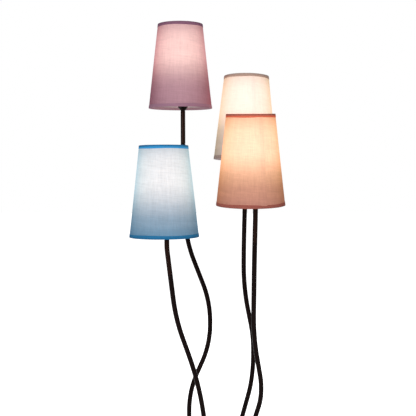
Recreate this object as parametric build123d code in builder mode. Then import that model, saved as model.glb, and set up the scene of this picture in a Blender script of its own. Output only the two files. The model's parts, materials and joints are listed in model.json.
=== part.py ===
"""Tree floor lamp: a weighted round base carries a hub with four bent tube arms. Each arm ends in a
bendable neck, a small-thread lampholder with a bulb and a conical cloth shade on a wire carrier.

Millimetres. +Z is up, +X is right and +Y is away from the viewer. The origin is the centre of the
base's underside, on the floor.
"""

from build123d import *
from math import cos, hypot, radians, sin, sqrt, tan
import os

os.makedirs("parts", exist_ok=True)

# ---------------------------------------------------------------- driving dimensions
# Base
BASE_RADIUS = 150.0
BASE_EDGE_RADIUS = 9.0  # rounding between the cover's top and its side
COVER_WALL = 2.0
COVER_FALL = 4.0  # how far the cover's top slopes down towards its edge
COVER_FLAT_MARGIN = 7.0  # of the cover's flat seat past the hub
FLOOR_GAP = 1.5  # the cover's rim stays this far above the floor
PAD_THICKNESS = 3.0
WEIGHT_THICKNESS = 12.0
WEIGHT_EDGE_GAP = 6.0  # between the weight's rim and the cover's side
PILLAR_WALL = 3.8  # of the weight's centre pillar, round the tie stud
CHAMBER_INSET = 2.0  # of the wiring chamber's wall inside the hub's edge
CHAMBER_SLOT = 20.0  # way out of the chamber towards the cord
WIRING_SPARE = 4.9  # room under the cover above the terminal block
NUT_RECESS_SPARE = 3.0  # round the tie washer

# Hub and its fasteners
HUB_WALL = 6.4  # outside the arm sockets
HUB_HEIGHT = 44.0
HUB_FLOOR = 5.0  # solid metal under the arm sockets
HUB_EDGE = 3.0
ARM_SPACING = 26.0  # between neighbouring arm sockets, a square
WIRE_HOLE_RADIUS = 4.0
TIE_RADIUS = 5.0
TIE_THREAD_DEPTH = 16.0
TIE_NUT_FLATS = 17.0
TIE_NUT_HEIGHT = 6.0
WASHER_RADIUS = 11.0
WASHER_THICKNESS = 1.6
SET_SCREW_RADIUS = 2.0
SET_SCREW_HEIGHT = 22.0  # above the hub's foot
SET_SCREW_INSET = 0.4  # of its head in the hub's side

# Cord inlet and the parts that hold the cord
CORD_RADIUS = 3.5
GROMMET_WALL = 1.9
GROMMET_FLANGE = 1.5  # how far its flanges stand out past its body
GROMMET_FLANGE_THICKNESS = 1.5
GROMMET_RISE = 1.1  # of its flange above the cover's rim
CORD_CHANNEL_SPARE = 2.0  # at each side of the grommet's flange
CORD_CHANNEL_LENGTH = 34.0
TERMINAL_LENGTH, TERMINAL_WIDTH, TERMINAL_HEIGHT = 34.0, 17.0, 8.0
TERMINAL_EDGE = 1.0  # rounding of its long edges
TERMINAL_PLACE = 58.0  # its middle, behind the hub
TERMINAL_POLES = 3
TERMINAL_HOLE_RADIUS = 1.6
CLAMP_LENGTH, CLAMP_WIDTH, CLAMP_THICKNESS = 27.0, 9.0, 2.5
CLAMP_PLACE = 96.0
CLAMP_SCREW_RADIUS = 1.5
CLAMP_SCREW_HEAD_RADIUS = 2.8
CLAMP_SCREW_HEAD_HEIGHT = 1.8
CLAMP_SCREW_DEPTH = 6.0
CLAMP_SCREW_INSET = 4.0

# Arms and necks
ARM_RADIUS = 6.0
ARM_WALL = 1.2
NECK_WALL = 2.4
NECK_LENGTH = 45.0  # of each of the two bending sections under a shade
BEND_SHARE = 0.47  # of the shorter run beside a bend that its arc takes up

# Lampholder, its cup and the bulb, from the cup's tip upwards
CUP_TIP_HEIGHT = 1.5
CUP_CONE_HEIGHT = 12.0
CUP_HEIGHT = 34.0
CUP_WALL = 1.2
HOLDER_RADIUS = 13.2
HOLDER_LENGTH = 60.0
HOLDER_FLANGE = 2.0  # how far its flange stands out over the cup's rim
HOLDER_FLANGE_THICKNESS = 2.0
HOLDER_THREAD_RADIUS = 13.8
FITTER_RIM = 2.0  # of the carrier's flat ring past the ring nut
FITTER_THICKNESS = 1.5
RING_NUT_WALL = 4.5
RING_NUT_HEIGHT = 8.0
RING_NUT_GRIPS = 12
RING_NUT_GRIP_RADIUS = 1.5
RING_NUT_GRIP_OFFSET = 0.5  # of a grip's axis past the ring nut's rim
BULB_CAP_RADIUS = 7.0
BULB_CAP_LENGTH = 17.0
BULB_NECK_STEP = 3.0  # from the cap out to the shoulder's foot
BULB_RADIUS = 30.0
BULB_SHOULDER_HEIGHT = 50.0  # opaque shoulder from the cap up to the diffuser
BULB_SHOULDER_FLARE = 0.45  # how steeply the shoulder widens at its foot, across over up
BULB_SHELL = 1.2

# Shades
SHADE_BOTTOM_RADIUS = 90.0
SHADE_TOP_RADIUS = 63.4
SHADE_HEIGHT = 235.0
SHADE_DROP = 8.0  # the cup's tip hangs this far under the shade's lower edge
CLOTH_THICKNESS = 0.8
TRIM_HEIGHT = 9.0
TRIM_THICKNESS = 0.5
RING_WIRE_RADIUS = 1.4
CARRIER_WIRE_RADIUS = 1.3
CARRIER_ARMS = 3
CARRIER_REACH = 0.42  # of the way to the shade, where a carrier wire turns down
CARRIER_BEND_RADIUS = 5.0

# Clearances
SLIDE = 0.2  # round arms, studs and screws in their holes
SEAT = 0.1  # between pieces that lie in or on each other
BODY_GAP = 0.3  # between pieces that move apart

# Each head: the side of the lamp it stands on, left or right and front or back; how much further
# than a shade's radius its cup's tip is from the middle, across and along; the tip's height; how
# far its shade leans back and to the right, in degrees; how far the shade hangs to the right of
# the holder; the straight run of its arm out of the hub, and the arm's bends from there upwards.
HEADS = {
    "purple": dict(
        side=(-1, 1), stand_off=(13, 22), tip_height=1357,
        lean_back=0.5, lean_right=0.0, shade_shift=-7.0,
        hub_run=120.0,
        bends=[
            (-85, 35, 455), (-85, 47, 571), (-26, 63, 701), (-26, 77, 818), (-89, 94, 978),
            (-102, 105, 1078),
        ],
    ),
    "blue": dict(
        side=(-1, -1), stand_off=(48, 28), tip_height=1016,
        lean_back=1.6, lean_right=-0.3, shade_shift=-6.5,
        hub_run=230.0,
        bends=[(-53, -81, 621), (-116, -110, 809)],
    ),
    "white": dict(
        side=(1, 1), stand_off=(-14, 12), tip_height=1213,
        lean_back=3.8, lean_right=0.8, shade_shift=-2.5,
        hub_run=210.0,
        bends=[
            (37, 28, 405), (89, 51, 585), (96, 59, 645), (96, 68, 722), (69, 84, 859), (70, 95, 1000)
        ],
    ),
    "orange": dict(
        side=(1, -1), stand_off=(1, 7), tip_height=1097,
        lean_back=-2.7, lean_right=-0.3, shade_shift=-12.5,
        hub_run=170.0,
        bends=[(38, -27, 330), (110, -56, 577), (111, -62, 625), (88, -79, 757), (89, -93, 950)],
    ),
}

# ---------------------------------------------------------------- sizes that follow
WEIGHT_FOOT = PAD_THICKNESS + SEAT
WEIGHT_TOP = WEIGHT_FOOT + WEIGHT_THICKNESS
WEIGHT_RADIUS = BASE_RADIUS - COVER_WALL - WEIGHT_EDGE_GAP
COVER_UNDERSIDE = WEIGHT_TOP + SEAT + TERMINAL_HEIGHT + WIRING_SPARE
BASE_HEIGHT = COVER_UNDERSIDE + COVER_WALL
COVER_SHOULDER = BASE_HEIGHT - COVER_FALL
HUB_FOOT = BASE_HEIGHT + SEAT
HUB_TOP = HUB_FOOT + HUB_HEIGHT
SOCKET_FLOOR = HUB_FOOT + HUB_FLOOR
SOCKET_OFFSET = ARM_SPACING / 2
SOCKET_REACH = hypot(SOCKET_OFFSET, SOCKET_OFFSET)  # from the hub's axis to a socket's axis
HUB_RADIUS = SOCKET_REACH + ARM_RADIUS + SLIDE + HUB_WALL
COVER_FLAT_RADIUS = HUB_RADIUS + COVER_FLAT_MARGIN
CHAMBER_RADIUS = HUB_RADIUS - CHAMBER_INSET
PILLAR_RADIUS = TIE_RADIUS + SLIDE + PILLAR_WALL
NUT_RECESS_RADIUS = WASHER_RADIUS + NUT_RECESS_SPARE
TIE_TOP = HUB_FOOT + TIE_THREAD_DEPTH
WASHER_TOP = WEIGHT_FOOT + TIE_NUT_HEIGHT + WASHER_THICKNESS + 3 * SEAT
TIE_NUT_TOP = WASHER_TOP - WASHER_THICKNESS - SEAT
GROMMET_RADIUS = CORD_RADIUS + GROMMET_WALL
GROMMET_FLANGE_RADIUS = GROMMET_RADIUS + GROMMET_FLANGE
# How far the cover's round side falls back at the edge of the grommet's flange
GROMMET_SAG = BASE_RADIUS - sqrt(BASE_RADIUS**2 - GROMMET_FLANGE_RADIUS**2)
CORD_INLET_HEIGHT = FLOOR_GAP + GROMMET_RISE + GROMMET_FLANGE_RADIUS
CORD_CHANNEL_WIDTH = 2 * (GROMMET_FLANGE_RADIUS + CORD_CHANNEL_SPARE)
CLAMP_SCREW_PLACES = (-CLAMP_LENGTH / 2 + CLAMP_SCREW_INSET, CLAMP_LENGTH / 2 - CLAMP_SCREW_INSET)
NECK_BORE_RADIUS = ARM_RADIUS - NECK_WALL
CUP_RADIUS = HOLDER_RADIUS + SEAT + CUP_WALL
HOLDER_FLANGE_RADIUS = CUP_RADIUS + HOLDER_FLANGE
RING_NUT_RADIUS = HOLDER_THREAD_RADIUS + SLIDE + RING_NUT_WALL
FITTER_RADIUS = RING_NUT_RADIUS + FITTER_RIM
BULB_NECK_RADIUS = BULB_CAP_RADIUS + BULB_NECK_STEP
HOLDER_FOOT = CUP_CONE_HEIGHT + CUP_WALL
FLANGE_FOOT = CUP_HEIGHT + SEAT
FLANGE_TOP = FLANGE_FOOT + HOLDER_FLANGE_THICKNESS
FITTER_FOOT = FLANGE_TOP + SEAT
FITTER_TOP = FITTER_FOOT + FITTER_THICKNESS
RING_NUT_FOOT = FITTER_TOP + SEAT
HOLDER_TOP = HOLDER_FOOT + HOLDER_LENGTH
BULB_CAP_TOP = HOLDER_TOP + SEAT
BULB_CAP_FOOT = BULB_CAP_TOP - BULB_CAP_LENGTH
BULB_SHOULDER_TOP = BULB_CAP_TOP + BULB_SHOULDER_HEIGHT
SHADE_SLOPE = (SHADE_BOTTOM_RADIUS - SHADE_TOP_RADIUS) / SHADE_HEIGHT
TRIM_LIP = TRIM_THICKNESS + SEAT  # the trim folds under the cloth and its ring by this much


def save(piece, node):
    """Labels a finished piece and writes it."""
    piece.part.label = node
    export_step(piece.part, f"parts/{node}.step")


def bend_radii(points):
    """The radius of each corner's arc, which takes BEND_SHARE of the shorter run beside it."""
    radii = []
    for before, here, after in zip(points, points[1:], points[2:]):
        run_in, run_out = here - before, after - here
        half_turn = radians(run_in.get_angle(run_out)) / 2
        radii.append(BEND_SHARE * min(run_in.length, run_out.length) / tan(half_turn))
    return radii


def tube(points, outer_radius, bore_radius):
    """Adds a round tube along straight runs joined by tangent arcs, and bores it."""
    with BuildLine() as path:
        if len(points) > 2:
            FilletPolyline(*points, radius=bend_radii(points))
        else:
            Line(*points)
    with BuildSketch(Plane(origin=path.line @ 0, z_dir=path.line % 0)) as ring:
        Circle(outer_radius)
        Circle(bore_radius, mode=Mode.SUBTRACT)
    sweep(sections=ring.sketch, path=path.line)


# ---------------------------------------------------------------- base
def make_base():
    with BuildPart() as foot_pad:
        with BuildSketch(Plane.XY):
            Circle(WEIGHT_RADIUS)
        extrude(amount=PAD_THICKNESS)
    save(foot_pad, "foot_pad")

    with BuildPart() as base_weight:
        with BuildSketch(Plane.XY.offset(WEIGHT_FOOT)):
            Circle(WEIGHT_RADIUS)
            with Locations((0, WEIGHT_RADIUS)):
                Rectangle(CORD_CHANNEL_WIDTH, 2 * CORD_CHANNEL_LENGTH, mode=Mode.SUBTRACT)
        extrude(amount=WEIGHT_THICKNESS)
        # The centre pillar and the ring that carry the cover's seat
        with BuildSketch(Plane.XY.offset(WEIGHT_TOP)):
            Circle(COVER_FLAT_RADIUS)
            Circle(CHAMBER_RADIUS, mode=Mode.SUBTRACT)
            with Locations((0, COVER_FLAT_RADIUS)):
                Rectangle(CHAMBER_SLOT, COVER_FLAT_RADIUS, mode=Mode.SUBTRACT)
            Circle(PILLAR_RADIUS)
        extrude(amount=COVER_UNDERSIDE - SEAT - WEIGHT_TOP)
        with BuildSketch(Plane.XY.offset(WEIGHT_FOOT)):
            Circle(NUT_RECESS_RADIUS)
        extrude(amount=WASHER_TOP + SEAT - WEIGHT_FOOT, mode=Mode.SUBTRACT)
        with Locations((0, 0, COVER_UNDERSIDE)):
            Hole(TIE_RADIUS + SLIDE)
        with Locations(*((x, CLAMP_PLACE, WEIGHT_TOP) for x in CLAMP_SCREW_PLACES)):
            Hole(CLAMP_SCREW_RADIUS + SEAT, depth=CLAMP_SCREW_DEPTH + SEAT)
    save(base_weight, "base_weight")

    with BuildPart() as base_cover:
        inner_radius = BASE_RADIUS - COVER_WALL
        inner_edge = BASE_EDGE_RADIUS - COVER_WALL
        with BuildSketch(Plane.XZ):
            with BuildLine():
                Polyline(
                    (0, COVER_UNDERSIDE), (COVER_FLAT_RADIUS, COVER_UNDERSIDE),
                    (inner_radius - inner_edge, COVER_SHOULDER - COVER_WALL),
                )
                JernArc(
                    (inner_radius - inner_edge, COVER_SHOULDER - COVER_WALL), (1, 0), inner_edge, -90
                )
                Polyline(
                    (inner_radius, COVER_SHOULDER - BASE_EDGE_RADIUS), (inner_radius, FLOOR_GAP),
                    (BASE_RADIUS, FLOOR_GAP), (BASE_RADIUS, COVER_SHOULDER - BASE_EDGE_RADIUS),
                )
                JernArc(
                    (BASE_RADIUS, COVER_SHOULDER - BASE_EDGE_RADIUS), (0, 1), BASE_EDGE_RADIUS, 90
                )
                Polyline(
                    (BASE_RADIUS - BASE_EDGE_RADIUS, COVER_SHOULDER), (COVER_FLAT_RADIUS, BASE_HEIGHT),
                    (0, BASE_HEIGHT), (0, COVER_UNDERSIDE),
                )
            make_face()
        revolve(axis=Axis.Z)
        with Locations((0, 0, BASE_HEIGHT)):
            Hole(TIE_RADIUS + SLIDE)
            with GridLocations(ARM_SPACING, ARM_SPACING, 2, 2):
                Hole(WIRE_HOLE_RADIUS + SLIDE)
        # The hole that the cord's grommet sits in
        with BuildSketch(Plane.XZ.offset(-BASE_RADIUS - COVER_WALL)):
            with Locations((0, CORD_INLET_HEIGHT)):
                Circle(GROMMET_RADIUS + SEAT)
        extrude(amount=3 * COVER_WALL, mode=Mode.SUBTRACT)
    save(base_cover, "base_cover")

    with BuildPart() as cord_grommet:
        outer_face = BASE_RADIUS + SEAT + GROMMET_FLANGE_THICKNESS
        inner_face = BASE_RADIUS - COVER_WALL - SEAT - GROMMET_FLANGE_THICKNESS - GROMMET_SAG
        with BuildSketch(Plane.YZ):
            with BuildLine():
                Polyline(
                    (inner_face, CORD_INLET_HEIGHT + CORD_RADIUS),
                    (outer_face, CORD_INLET_HEIGHT + CORD_RADIUS),
                    (outer_face, CORD_INLET_HEIGHT + GROMMET_FLANGE_RADIUS),
                    (BASE_RADIUS + SEAT, CORD_INLET_HEIGHT + GROMMET_FLANGE_RADIUS),
                    (BASE_RADIUS + SEAT, CORD_INLET_HEIGHT + GROMMET_RADIUS),
                    (inner_face + GROMMET_FLANGE_THICKNESS, CORD_INLET_HEIGHT + GROMMET_RADIUS),
                    (inner_face + GROMMET_FLANGE_THICKNESS, CORD_INLET_HEIGHT + GROMMET_FLANGE_RADIUS),
                    (inner_face, CORD_INLET_HEIGHT + GROMMET_FLANGE_RADIUS),
                    close=True,
                )
            make_face()
        revolve(axis=Axis((0, 0, CORD_INLET_HEIGHT), (0, 1, 0)))
    save(cord_grommet, "cord_grommet")


def make_wiring_parts():
    with BuildPart() as terminal_block:
        with Locations((0, TERMINAL_PLACE, WEIGHT_TOP + SEAT)):
            Box(
                TERMINAL_LENGTH, TERMINAL_WIDTH, TERMINAL_HEIGHT,
                align=(Align.CENTER, Align.CENTER, Align.MIN),
            )
        fillet(terminal_block.edges().filter_by(Axis.Y), TERMINAL_EDGE)
        pole_spacing = TERMINAL_LENGTH / TERMINAL_POLES
        wire_height = WEIGHT_TOP + SEAT + TERMINAL_HEIGHT / 2
        with BuildSketch(Plane.XZ.offset(-TERMINAL_PLACE)):
            with Locations((0, wire_height)):
                with GridLocations(pole_spacing, 1, TERMINAL_POLES, 1):
                    Circle(TERMINAL_HOLE_RADIUS)
        extrude(amount=TERMINAL_WIDTH, both=True, mode=Mode.SUBTRACT)
    save(terminal_block, "terminal_block")

    with BuildPart() as cord_clamp:
        clamp_foot = WEIGHT_TOP + SEAT
        arch = CORD_RADIUS + CLAMP_THICKNESS
        with BuildSketch(Plane.XZ.offset(-CLAMP_PLACE - CLAMP_WIDTH / 2)):
            with Locations((0, clamp_foot)):
                Rectangle(CLAMP_LENGTH, CLAMP_THICKNESS, align=(Align.CENTER, Align.MIN))
                Circle(arch)
                Circle(CORD_RADIUS, mode=Mode.SUBTRACT)
                Rectangle(CLAMP_LENGTH, arch, align=(Align.CENTER, Align.MAX), mode=Mode.SUBTRACT)
        extrude(amount=CLAMP_WIDTH)
        with Locations(*((x, CLAMP_PLACE, clamp_foot + CLAMP_THICKNESS) for x in CLAMP_SCREW_PLACES)):
            Hole(CLAMP_SCREW_RADIUS + SEAT)
    save(cord_clamp, "cord_clamp")

    with BuildPart() as clamp_screws:
        head_foot = WEIGHT_TOP + CLAMP_THICKNESS + 2 * SEAT
        for x in CLAMP_SCREW_PLACES:
            with BuildSketch(Plane.XY.offset(WEIGHT_TOP - CLAMP_SCREW_DEPTH)):
                with Locations((x, CLAMP_PLACE)):
                    Circle(CLAMP_SCREW_RADIUS)
            extrude(amount=head_foot + CLAMP_SCREW_DEPTH - WEIGHT_TOP)
            with BuildSketch(Plane.XY.offset(head_foot)):
                with Locations((x, CLAMP_PLACE)):
                    Circle(CLAMP_SCREW_HEAD_RADIUS)
            extrude(amount=CLAMP_SCREW_HEAD_HEIGHT)
    save(clamp_screws, "clamp_screws")


# ---------------------------------------------------------------- hub
def make_hub():
    with BuildPart() as arm_hub:
        with BuildSketch(Plane.XY.offset(HUB_FOOT)):
            Circle(HUB_RADIUS)
        extrude(amount=HUB_HEIGHT)
        fillet(arm_hub.edges().group_by(Axis.Z)[-1], HUB_EDGE)
        with BuildSketch(Plane.XY.offset(SOCKET_FLOOR)):
            with GridLocations(ARM_SPACING, ARM_SPACING, 2, 2):
                Circle(ARM_RADIUS + SLIDE)
        extrude(amount=HUB_HEIGHT, mode=Mode.SUBTRACT)
        with Locations((0, 0, HUB_TOP)):
            with GridLocations(ARM_SPACING, ARM_SPACING, 2, 2):
                Hole(WIRE_HOLE_RADIUS)
        with BuildSketch(Plane.XY.offset(HUB_FOOT)):
            Circle(TIE_RADIUS + SEAT)
        extrude(amount=TIE_THREAD_DEPTH + SEAT, mode=Mode.SUBTRACT)
        for plane in SET_SCREW_PLANES:
            with BuildSketch(plane):
                Circle(SET_SCREW_RADIUS + SEAT)
            extrude(amount=HUB_RADIUS - SOCKET_REACH, mode=Mode.SUBTRACT)
    save(arm_hub, "arm_hub")

    with BuildPart() as hub_set_screws:
        for plane in SET_SCREW_PLANES:
            with BuildSketch(plane.offset(ARM_RADIUS + SEAT)):
                Circle(SET_SCREW_RADIUS)
            extrude(amount=HUB_RADIUS - SET_SCREW_INSET - SOCKET_REACH - ARM_RADIUS - SEAT)
    save(hub_set_screws, "hub_set_screws")

    with BuildPart() as tie_stud:
        with BuildSketch(Plane.XY.offset(WEIGHT_FOOT + SEAT)):
            Circle(TIE_RADIUS)
        extrude(amount=TIE_TOP - WEIGHT_FOOT - SEAT)
    save(tie_stud, "tie_stud")

    with BuildPart() as tie_washer:
        with BuildSketch(Plane.XY.offset(WASHER_TOP - WASHER_THICKNESS)):
            Circle(WASHER_RADIUS)
            Circle(TIE_RADIUS + SLIDE, mode=Mode.SUBTRACT)
        extrude(amount=WASHER_THICKNESS)
    save(tie_washer, "tie_washer")

    with BuildPart() as tie_nut:
        with BuildSketch(Plane.XY.offset(TIE_NUT_TOP)):
            RegularPolygon(TIE_NUT_FLATS / 2, 6, major_radius=False)
            Circle(TIE_RADIUS + SEAT, mode=Mode.SUBTRACT)
        extrude(amount=-TIE_NUT_HEIGHT)
    save(tie_nut, "tie_nut")


# One plane at each socket's axis, facing out of the hub, for its set screw
SET_SCREW_PLANES = [
    Plane(
        origin=(SOCKET_OFFSET * sx, SOCKET_OFFSET * sy, HUB_FOOT + SET_SCREW_HEIGHT),
        x_dir=(0, 0, 1),
        z_dir=(sx, sy, 0),
    )
    for sx in (-1, 1)
    for sy in (-1, 1)
]


# ---------------------------------------------------------------- arms, necks and heads
class Head:
    """Where one arm ends and how its lampholder and shade stand."""

    def __init__(
        self, side, stand_off, tip_height, lean_back, lean_right, shade_shift, hub_run, bends
    ):
        tip_x, tip_y = (s * (SHADE_BOTTOM_RADIUS + off) for s, off in zip(side, stand_off))
        self.tip = Vector(tip_x, tip_y, tip_height)
        up = Vector(tan(radians(lean_right)), tan(radians(lean_back)), 1).normalized()
        right = (Vector(1, 0, 0) - up * up.X).normalized()
        back = up.cross(right)
        self.up, self.right, self.back = up, right, back
        self.shade_foot = self.tip + up * SHADE_DROP + right * shade_shift
        self.shade_shift = shade_shift
        self.profile = Plane(origin=self.tip, x_dir=right, z_dir=back * -1)
        self.axis = Axis(self.tip, up)
        self.shade_profile = Plane(origin=self.shade_foot, x_dir=right, z_dir=back * -1)
        self.shade_axis = Axis(self.shade_foot, up)
        # The arm stands in its socket, follows its bends and runs straight into the neck's lower
        # section. The upper section turns from there into the lampholder's axis.
        x, y = (SOCKET_OFFSET * s for s in side)
        foot = Vector(x, y, SOCKET_FLOOR + SEAT)
        leaves_hub = Vector(x, y, foot.Z + hub_run)
        corner = self.tip - up * (NECK_LENGTH / 2)
        last_bend = Vector(*bends[-1])
        along = (corner - last_bend).normalized()
        self.neck_middle = corner - along * (NECK_LENGTH / 2)
        self.neck_foot = self.neck_middle - along * NECK_LENGTH
        self.arm = [foot, leaves_hub, *(Vector(*p) for p in bends), self.neck_foot]
        self.lower = [self.neck_foot + along * BODY_GAP, self.neck_middle]
        self.upper = [self.neck_middle + along * BODY_GAP, corner, self.tip]

    def height(self, amount):
        """A plane across the lampholder's axis, this far above the cup's tip."""
        return Plane(origin=self.tip + self.up * amount, x_dir=self.right, z_dir=self.up)


def make_arm(name, head):
    with BuildPart() as arm:
        tube(head.arm, ARM_RADIUS, ARM_RADIUS - ARM_WALL)
    save(arm, f"{name}_arm")

    with BuildPart() as neck_lower:
        tube(head.lower, ARM_RADIUS, NECK_BORE_RADIUS)
    save(neck_lower, f"{name}_neck_lower")

    with BuildPart() as neck_upper:
        tube(head.upper, ARM_RADIUS, NECK_BORE_RADIUS)
    save(neck_upper, f"{name}_neck_upper")


def make_lampholder(name, head):
    with BuildPart() as socket_cup:
        with BuildSketch(head.profile):
            with BuildLine():
                Polyline(
                    (NECK_BORE_RADIUS, SEAT), (ARM_RADIUS, SEAT), (ARM_RADIUS, CUP_TIP_HEIGHT),
                    (CUP_RADIUS, CUP_CONE_HEIGHT), (CUP_RADIUS, CUP_HEIGHT),
                    (CUP_RADIUS - CUP_WALL, CUP_HEIGHT),
                    (CUP_RADIUS - CUP_WALL, CUP_CONE_HEIGHT + CUP_WALL / 2),
                    (NECK_BORE_RADIUS, CUP_TIP_HEIGHT + CUP_WALL),
                    close=True,
                )
            make_face()
        revolve(axis=head.axis)
    save(socket_cup, f"{name}_socket_cup")

    with BuildPart() as lampholder:
        with BuildSketch(head.profile):
            with BuildLine():
                Polyline(
                    (NECK_BORE_RADIUS, HOLDER_FOOT), (HOLDER_RADIUS, HOLDER_FOOT),
                    (HOLDER_RADIUS, FLANGE_FOOT),
                    (HOLDER_FLANGE_RADIUS, FLANGE_FOOT), (HOLDER_FLANGE_RADIUS, FLANGE_TOP),
                    (HOLDER_THREAD_RADIUS, FLANGE_TOP), (HOLDER_THREAD_RADIUS, HOLDER_TOP),
                    (BULB_CAP_RADIUS + SLIDE, HOLDER_TOP),
                    (BULB_CAP_RADIUS + SLIDE, BULB_CAP_FOOT - SEAT),
                    (NECK_BORE_RADIUS, BULB_CAP_FOOT - SEAT),
                    close=True,
                )
            make_face()
        revolve(axis=head.axis)
    save(lampholder, f"{name}_lampholder")

    with BuildPart() as ring_nut:
        with BuildSketch(head.height(RING_NUT_FOOT)):
            Circle(RING_NUT_RADIUS)
            Circle(HOLDER_THREAD_RADIUS + SLIDE, mode=Mode.SUBTRACT)
            with PolarLocations(RING_NUT_RADIUS + RING_NUT_GRIP_OFFSET, RING_NUT_GRIPS):
                Circle(RING_NUT_GRIP_RADIUS, mode=Mode.SUBTRACT)
        extrude(amount=RING_NUT_HEIGHT)
    save(ring_nut, f"{name}_ring_nut")


def make_bulb(name, head):
    """A pear-shaped bulb: a threaded cap, an opaque shoulder that widens to the globe and a white diffuser."""
    with BuildPart() as bulb_base:
        with BuildSketch(head.profile):
            with BuildLine():
                Polyline(
                    (0, BULB_CAP_FOOT), (BULB_CAP_RADIUS, BULB_CAP_FOOT),
                    (BULB_CAP_RADIUS, BULB_CAP_TOP), (BULB_NECK_RADIUS, BULB_CAP_TOP),
                )
                Spline(
                    (BULB_NECK_RADIUS, BULB_CAP_TOP), (BULB_RADIUS, BULB_SHOULDER_TOP),
                    tangents=[(BULB_SHOULDER_FLARE, 1), (0, 1)],
                )
                Polyline(
                    (BULB_RADIUS, BULB_SHOULDER_TOP), (0, BULB_SHOULDER_TOP), (0, BULB_CAP_FOOT)
                )
            make_face()
        revolve(axis=head.axis)
    save(bulb_base, f"{name}_bulb_base")

    foot = BULB_SHOULDER_TOP + SEAT  # the globe is widest where the shoulder ends
    inner = BULB_RADIUS - BULB_SHELL
    with BuildPart() as bulb_globe:
        with BuildSketch(head.profile):
            with BuildLine():
                Line((inner, foot), (BULB_RADIUS, foot))
                CenterArc((0, foot), BULB_RADIUS, 0, 90)
                Line((0, foot + BULB_RADIUS), (0, foot + inner))
                CenterArc((0, foot), inner, 0, 90)
            make_face()
        revolve(axis=head.axis)
    save(bulb_globe, f"{name}_bulb_globe")


def cloth_radius(height):
    """The cloth's outer radius at a height above the shade's lower edge."""
    return SHADE_BOTTOM_RADIUS - TRIM_THICKNESS - SEAT - SHADE_SLOPE * height


def make_shade(name, head):
    cloth_foot, cloth_top = TRIM_LIP, SHADE_HEIGHT - TRIM_LIP
    with BuildPart() as shade_cloth:
        with BuildSketch(head.shade_profile):
            with BuildLine():
                Polyline(
                    (cloth_radius(cloth_foot), cloth_foot), (cloth_radius(cloth_top), cloth_top),
                    (cloth_radius(cloth_top) - CLOTH_THICKNESS, cloth_top),
                    (cloth_radius(cloth_foot) - CLOTH_THICKNESS, cloth_foot),
                    close=True,
                )
            make_face()
        revolve(axis=head.shade_axis)
    save(shade_cloth, f"{name}_shade_cloth")

    with BuildPart() as shade_trims:
        for edge, inward in ((0.0, 1), (SHADE_HEIGHT, -1)):
            lip = edge + inward * TRIM_THICKNESS
            end = edge + inward * TRIM_HEIGHT
            inner = cloth_radius(edge) - CLOTH_THICKNESS - 2 * RING_WIRE_RADIUS
            with BuildSketch(head.shade_profile):
                with BuildLine():
                    Polyline(
                        (inner, edge), (cloth_radius(edge) + SEAT + TRIM_THICKNESS, edge),
                        (cloth_radius(end) + SEAT + TRIM_THICKNESS, end),
                        (cloth_radius(end) + SEAT, end), (cloth_radius(lip) + SEAT, lip), (inner, lip),
                        close=True,
                    )
                make_face()
            revolve(axis=head.shade_axis)
    save(shade_trims, f"{name}_shade_trims")

    ring_inset = CLOTH_THICKNESS + RING_WIRE_RADIUS + 2 * SEAT
    top_ring_height = SHADE_HEIGHT - TRIM_LIP - RING_WIRE_RADIUS
    with BuildPart() as top_ring:
        with BuildSketch(head.shade_profile):
            with Locations((cloth_radius(top_ring_height) - ring_inset, top_ring_height)):
                Circle(RING_WIRE_RADIUS)
        revolve(axis=head.shade_axis)
    save(top_ring, f"{name}_shade_top_ring")

    make_carrier(name, head, ring_inset)


def make_carrier(name, head, ring_inset):
    """The wire ring in the shade's lower edge, with wires up to the flat ring on the lampholder."""
    ring_height = TRIM_LIP + RING_WIRE_RADIUS
    ring_radius = cloth_radius(ring_height) - ring_inset
    fitter_height = FITTER_FOOT + FITTER_THICKNESS / 2 - SHADE_DROP
    with BuildPart() as shade_carrier:
        with BuildSketch(head.shade_profile):
            with Locations((ring_radius, ring_height)):
                Circle(RING_WIRE_RADIUS)
        revolve(axis=head.shade_axis)
        with BuildSketch(head.height(FITTER_FOOT)):
            Circle(FITTER_RADIUS)
            Circle(HOLDER_THREAD_RADIUS + SLIDE, mode=Mode.SUBTRACT)
        extrude(amount=FITTER_THICKNESS)
        for step in range(CARRIER_ARMS):
            turn = radians(90 + 360 * step / CARRIER_ARMS)
            inner = RING_NUT_RADIUS + SLIDE
            start_x, start_y = inner * cos(turn) - head.shade_shift, inner * sin(turn)
            end_x, end_y = ring_radius * cos(turn), ring_radius * sin(turn)
            knee_x = start_x + (end_x - start_x) * CARRIER_REACH
            knee_y = start_y + (end_y - start_y) * CARRIER_REACH
            points = [
                head.shade_foot + head.right * x + head.back * y + head.up * z
                for x, y, z in (
                    (start_x, start_y, fitter_height),
                    (knee_x, knee_y, fitter_height),
                    (end_x, end_y, ring_height),
                )
            ]
            with BuildLine() as wire:
                FilletPolyline(*points, radius=CARRIER_BEND_RADIUS)
            with BuildSketch(Plane(origin=wire.line @ 0, z_dir=wire.line % 0)):
                Circle(CARRIER_WIRE_RADIUS)
            sweep(path=wire.line)
    save(shade_carrier, f"{name}_shade_carrier")


make_base()
make_wiring_parts()
make_hub()
for name, values in HEADS.items():
    head = Head(**values)
    make_arm(name, head)
    make_lampholder(name, head)
    make_bulb(name, head)
    make_shade(name, head)
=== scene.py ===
"""Tree floor lamp: four lit cloth shades on bent brown tubes that rise from a round weighted base.

Metres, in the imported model's frame: +Z is up, +X is right and +Y is away from the viewer.
"""

import json
import math

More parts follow.
